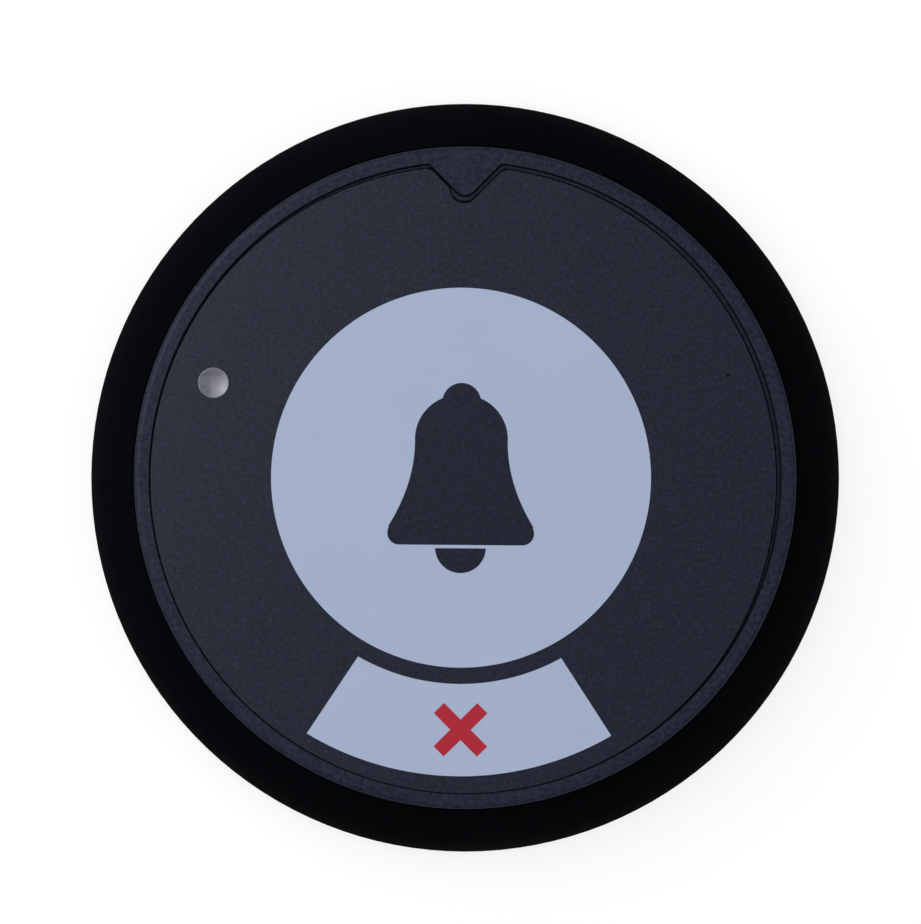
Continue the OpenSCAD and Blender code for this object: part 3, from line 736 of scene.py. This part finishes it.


# Painted shade: this fillet's black stands for the shade at the foot of the pocket's wall.
shadow_line_black = moulded("shadow_line_black", (0.0034, 0.0042, 0.0075), rough=0.6, grain=0.2 * mm,
                     depth=0.01 * mm, specular=0.03, fleck=0.3)
tube = wall_shadow_fillet(round_angles(0, 0.2), shadow_line_section)
index = numbered(tube[:, :, 0])
sides = quads(np.vstack([index, index[:1]]), wrap=True)
shadow_line_piece = mesh_piece("painted_shadow_line", tube.reshape(-1, 3), [sides], shadow_line_black, smooth=True)
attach(shadow_line_piece, "housing")

# ---------------------------------------------------------------------------
# Printed fields and signs: screen ink on the film, a pale blue-grey disc with
# a bell in the film's own grey, and a pale sector with a red cross.
# ---------------------------------------------------------------------------

print_shift = np.array([-0.41, 0.01]) * mm
print_turn = film_turn
ink_t = 0.02 * mm
sign_t = 0.015 * mm
sink = 1.2


def ink(name, colour):
    """Screen ink: an even coat whose velvet grain is that of the film below it."""
    rough, grain_depth, cloud, drift_share = 0.6, 0.004 * mm, 11 * mm, 0.015
    skin = Finish(name, Specular_IOR_Level=0.08)
    pits = skin.noise(velvet_grain, 3, 0.6)
    toned = skin.tint(skin.swing(skin.noise(cloud)), shade(colour, 1 - drift_share),
                      shade(colour, 1 + drift_share))
    flecked = skin.tint(skin.swing(pits, 0, 0.08), toned, shade(colour, 0.8))
    return skin.wear(flecked, skin.swing(pits, rough - 0.05, rough + 0.05),
                     skin.relief(pits, grain_depth))


def print_sheet(name, x, y, faces, material, height, thickness):
    """A layer of ink whose outline is given in the print's own frame. Its top is at height
    above the film, and it sinks into what is below it by a part of its thickness."""
    px, py = to_button(x, y, print_shift, print_turn)
    points = np.stack([px.ravel(), py.ravel(), np.full(px.size, film_top + height)], -1)
    piece = mesh_piece(name, points, faces, material)
    thicken(piece, thickness * sink)
    return piece


pale = ink("ink_pale", (0.342, 0.401, 0.552))
field_x, sector_x = 0.024 * mm, 0.02 * mm
call_field_r = 17.78 * mm
soft_rings = np.arange(16.3, 17.75, 0.1)
rings = np.append(np.concatenate([[1, 4, 8, 12, 15, 16], soft_rings]) * mm, call_field_r)
turns = full_turn(1.0)
disc_x, disc_y = rings[:, None] * np.cos(turns), rings[:, None] * np.sin(turns)
index = numbered(disc_x)
call_field = print_sheet("call_field", field_x + np.append(disc_x, 0), np.append(disc_y, 0),
                         [fan(index.size, index[0]), quads(index, wrap=True)], pale, ink_t, ink_t)
flex(call_field, call_press)

# Each row of the sector is an arc that ends where it meets the sides. They start from an
# apex below the middle, and the arc meets them at a distance of along from that apex
sector_r_in, sector_r_out = 19.31 * mm, 27.95 * mm
radius = np.linspace(sector_r_in, sector_r_out, 80)[:, None]
along = -sector_apex * math.cos(sector_side) + np.sqrt(
    radius**2 - (sector_apex * math.sin(sector_side)) ** 2)
half = np.arctan2(along * math.sin(sector_side), sector_apex + along * math.cos(sector_side))
angle = down + half * np.linspace(-1, 1, 181)
cancel_field = print_sheet("cancel_field", sector_x + radius * np.cos(angle),
                           radius * np.sin(angle), [quads(numbered(angle))], pale, ink_t, ink_t)
flex(cancel_field, cancel_press)

# The signs' measures in millimetres, from the middle of the print
lip_x, lip_y, lip_r, lip_top = 5.77, -5.2, 1.1, -4.6
waist_half, waist_y, flare = 4.34, 3.4, 0.0385
shoulder_x, shoulder_y, shoulder_r = 0.2, 3.6, 4.145
knob_y, knob_r, knob_alone = 7.06, 1.81, 7.7
bell_low, flare_low, bell_high, bell_x = -6.3, -4.1, 8.869, 0.03
clapper_y, clapper_r, clapper_low, clapper_high, clapper_x = -6.56, 2.37, -8.929, -6.61, 0.023


def half_chord(y, middle, radius):
    """Half the width of a circle at a height, and 0 above and below it."""
    return np.sqrt(np.clip(radius**2 - (y - middle) ** 2, 0, None))


def bell_half_width(y):
    """Half the bell's width at each height. The skirt is a parabola that flares downwards
    into a round lip, the shoulder is a circle, and the knob is a smaller one on top."""
    lip = lip_x + half_chord(y, lip_y, lip_r)
    skirt = waist_half + flare * (waist_y - y) ** 2
    shoulder = shoulder_x + half_chord(y, shoulder_y, shoulder_r)
    knob = half_chord(y, knob_y, knob_r)
    body = np.where(y < lip_top, np.minimum(lip, skirt), skirt)
    top = np.where(y > knob_alone, knob, np.maximum(shoulder, knob))
    return np.where(y < waist_y, body, top)


def clapper_half_width(y):
    """Half the clapper's width at each height: the lower part of a circle."""
    return half_chord(y, clapper_y, clapper_r)


def rows_sign(name, heights, half_width, centre_x, material):
    """A flat sign drawn as rows from left edge to right edge at each height."""
    across = np.linspace(-1, 1, 21)
    width = half_width(heights)[:, None]
    x = (centre_x + width * across) * mm
    y = np.broadcast_to(heights[:, None], x.shape) * mm
    return print_sheet(name, x, y, [quads(numbered(x))[:, ::-1]], material, ink_t + sign_t, sign_t)


def crowded(low, high, count):
    """Heights that crowd towards both ends, as half a turn of a cosine."""
    return (low + high) / 2 - (high - low) / 2 * np.cos(np.linspace(0, math.pi, count))


bell_ink = moulded("ink_bell", film_grey, velvet_rough, velvet_grain, velvet_depth,
                   specular=0.067, fleck=0.8, spots=0.4)
heights = np.unique(np.concatenate([
    crowded(bell_low, flare_low, 30), np.linspace(flare_low, waist_y, 30),
    crowded(waist_y, 7.74, 40), crowded(5.8, bell_high, 50)]))
bell = rows_sign("bell_sign", heights, bell_half_width, bell_x, bell_ink)
clapper = rows_sign("bell_clapper", crowded(clapper_low, clapper_high, 40), clapper_half_width,
                    clapper_x, bell_ink)
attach(bell, "call_key")
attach(clapper, "call_key")

# The cross is five faces of a grid of four lines each way, without the corner ones. It is
# turned by an eighth of a turn
bar_half_l, bar_half_w = 2.875 * mm, 0.675 * mm
cross_at = np.array([0.16, -23.60]) * mm
stops = np.array([-bar_half_l, -bar_half_w, bar_half_w, bar_half_l])
u, v = np.meshgrid(stops, stops)
index = numbered(u)
plus = np.concatenate([quads(index[:, 1:3]), quads(index[1:3, :2]), quads(index[1:3, 2:])])
used, plus = np.unique(plus, return_inverse=True)
u, v = u.ravel()[used], v.ravel()[used]
eighth = math.cos(math.pi / 4)
red = ink("ink_red", (0.36, 0.015, 0.029))
cross = print_sheet("cross_sign", cross_at[0] + eighth * (u - v), cross_at[1] + eighth * (u + v),
                    [plus.reshape(-1, 4)[:, ::-1]], red, ink_t + sign_t, sign_t)
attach(cross, "cancel_key")

# ---------------------------------------------------------------------------
# Light window: a frosted clear plug, dished on top, that carries the lamp's
# light up to the face. It is pressed into the cover's bore.
# ---------------------------------------------------------------------------


def window_plastic():
    """Frosted clear plastic, clouded between a dark and a light grey."""
    dark, light = (0.076, 0.081, 0.114), (0.142, 0.139, 0.178)
    cloud_w, frost_depth = 0.9 * mm, 0.03 * mm
    skin = Finish("window_plastic", Specular_IOR_Level=0.3, Transmission_Weight=0.3)
    cloud = skin.noise(cloud_w, 3)
    return skin.wear(skin.tint(skin.span(cloud, 0.35, 0.65), dark, light),
                     skin.swing(cloud, 0.4, 0.55), skin.relief(cloud, frost_depth))


plug_low, plug_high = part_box("light_window")
plug_bite = 0.015 * mm
plug_r = (plug_high.x - plug_low.x) / 2 + plug_bite
dish = np.linspace(0.05, 1, 14)
dish_depth = 0.24 * mm
rim = np.radians(np.linspace(90, 0, 6)[1:])
rim_r = 0.1 * mm
plug_radius = np.concatenate([dish * (plug_r - rim_r), plug_r - rim_r + rim_r * np.cos(rim),
                              [plug_r]])
plug_level = np.concatenate([film_top - dish_depth * (1 - dish**2),
                             film_top - rim_r + rim_r * np.sin(rim), [plug_low.z]])
points, faces = turned(plug_radius[:, None], plug_level[:, None], full_turn(5.0),
                       film_top - dish_depth, plug_low.z)
points += np.array([*window_at, 0])
window = mesh_piece("window_plug", points, faces, window_plastic(), smooth=True)
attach(window, "housing")
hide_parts("light_window")

# ---------------------------------------------------------------------------
# Studio: a plain pale floor, an even sky and two soft lamps, up to the left and
# overhead. A third, near lamp adds only sheen. The camera looks straight down.
# ---------------------------------------------------------------------------


def seen_directly(tree):
    """1 for camera, glossy and transmission rays, which see the backdrop itself."""
    path = tree.nodes.new("ShaderNodeLightPath")
    total = path.outputs["Is Camera Ray"]
    for name in ("Is Glossy Ray", "Is Transmission Ray"):
        add = tree.nodes.new("ShaderNodeMath")
        add.operation = "MAXIMUM"
        tree.links.new(total, add.inputs[0])
        tree.links.new(path.outputs[name], add.inputs[1])
        total = add.outputs[0]
    return total


white = (1, 1, 1, 1)
sky_light = 0.6
world = bpy.data.worlds.new("studio_sky")
world.use_nodes = True
bpy.context.scene.world = world
sky = world.node_tree.nodes["Background"]
sky.inputs["Color"].default_value = white
level = world.node_tree.nodes.new("ShaderNodeMapRange")
level.inputs["To Min"].default_value = sky_light
level.inputs["To Max"].default_value = 1.0
world.node_tree.links.new(seen_directly(world.node_tree), level.inputs["Value"])
world.node_tree.links.new(level.outputs["Result"], sky.inputs["Strength"])

floor_half = 1.5
floor_z = -0.02 * mm
floor_grey = (0.28, 0.28, 0.28, 1)
floor_glow = 0.76
floor_mesh = bpy.data.meshes.new("floor")
floor_mesh.from_pydata([(-floor_half, -floor_half, floor_z), (floor_half, -floor_half, floor_z),
                        (floor_half, floor_half, floor_z), (-floor_half, floor_half, floor_z)],
                       [], [(0, 1, 2, 3)])
floor = bpy.data.objects.new("floor", floor_mesh)
bpy.context.scene.collection.objects.link(floor)
card = Finish("floor_card", Roughness=0.9, Specular_IOR_Level=0.0)
card.shader.inputs["Base Color"].default_value = floor_grey
card.shader.inputs["Emission Color"].default_value = white
glow = card.span(seen_directly(card.tree), 0, 1, 0, floor_glow)
card.put(glow, card.shader.inputs["Emission Strength"])
floor_mesh.materials.append(card.material)


def soft_lamp(name, place, size, power, gloss_only=False):
    """A square area lamp that faces the middle of the button. A lamp for gloss alone
    adds a sheen and no other light."""
    data = bpy.data.lights.new(name, "AREA")
    data.size = size
    data.energy = power
    lamp = bpy.data.objects.new(name, data)
    bpy.context.scene.collection.objects.link(lamp)
    lamp.location = place
    away = lamp.location.normalized()
    lamp.rotation_mode = "QUATERNION"
    lamp.rotation_quaternion = away.to_track_quat("Z", "Y")
    lamp.visible_camera = False
    lamp.visible_diffuse = not gloss_only


soft_lamp("lamp_upper_left", place=(-0.30, 0.22, 0.5), size=0.5, power=1.4)
soft_lamp("lamp_overhead", place=(0.1, -0.05, 0.8), size=0.8, power=1.6)
soft_lamp("lamp_sheen", place=(-0.09, 0.045, 0.10), size=0.1, power=0.5, gloss_only=True)

view_h = 86.49 * mm
aim = (-0.436 * mm, 1.477 * mm)
camera_up = 0.5
camera_data = bpy.data.cameras.new("camera")
camera_data.type = "ORTHO"
camera_data.ortho_scale = view_h
camera = bpy.data.objects.new("camera", camera_data)
bpy.context.scene.collection.objects.link(camera)
camera.location = (*aim, camera_up)
bpy.context.scene.camera = camera
bpy.context.scene.view_settings.view_transform = "Standard"
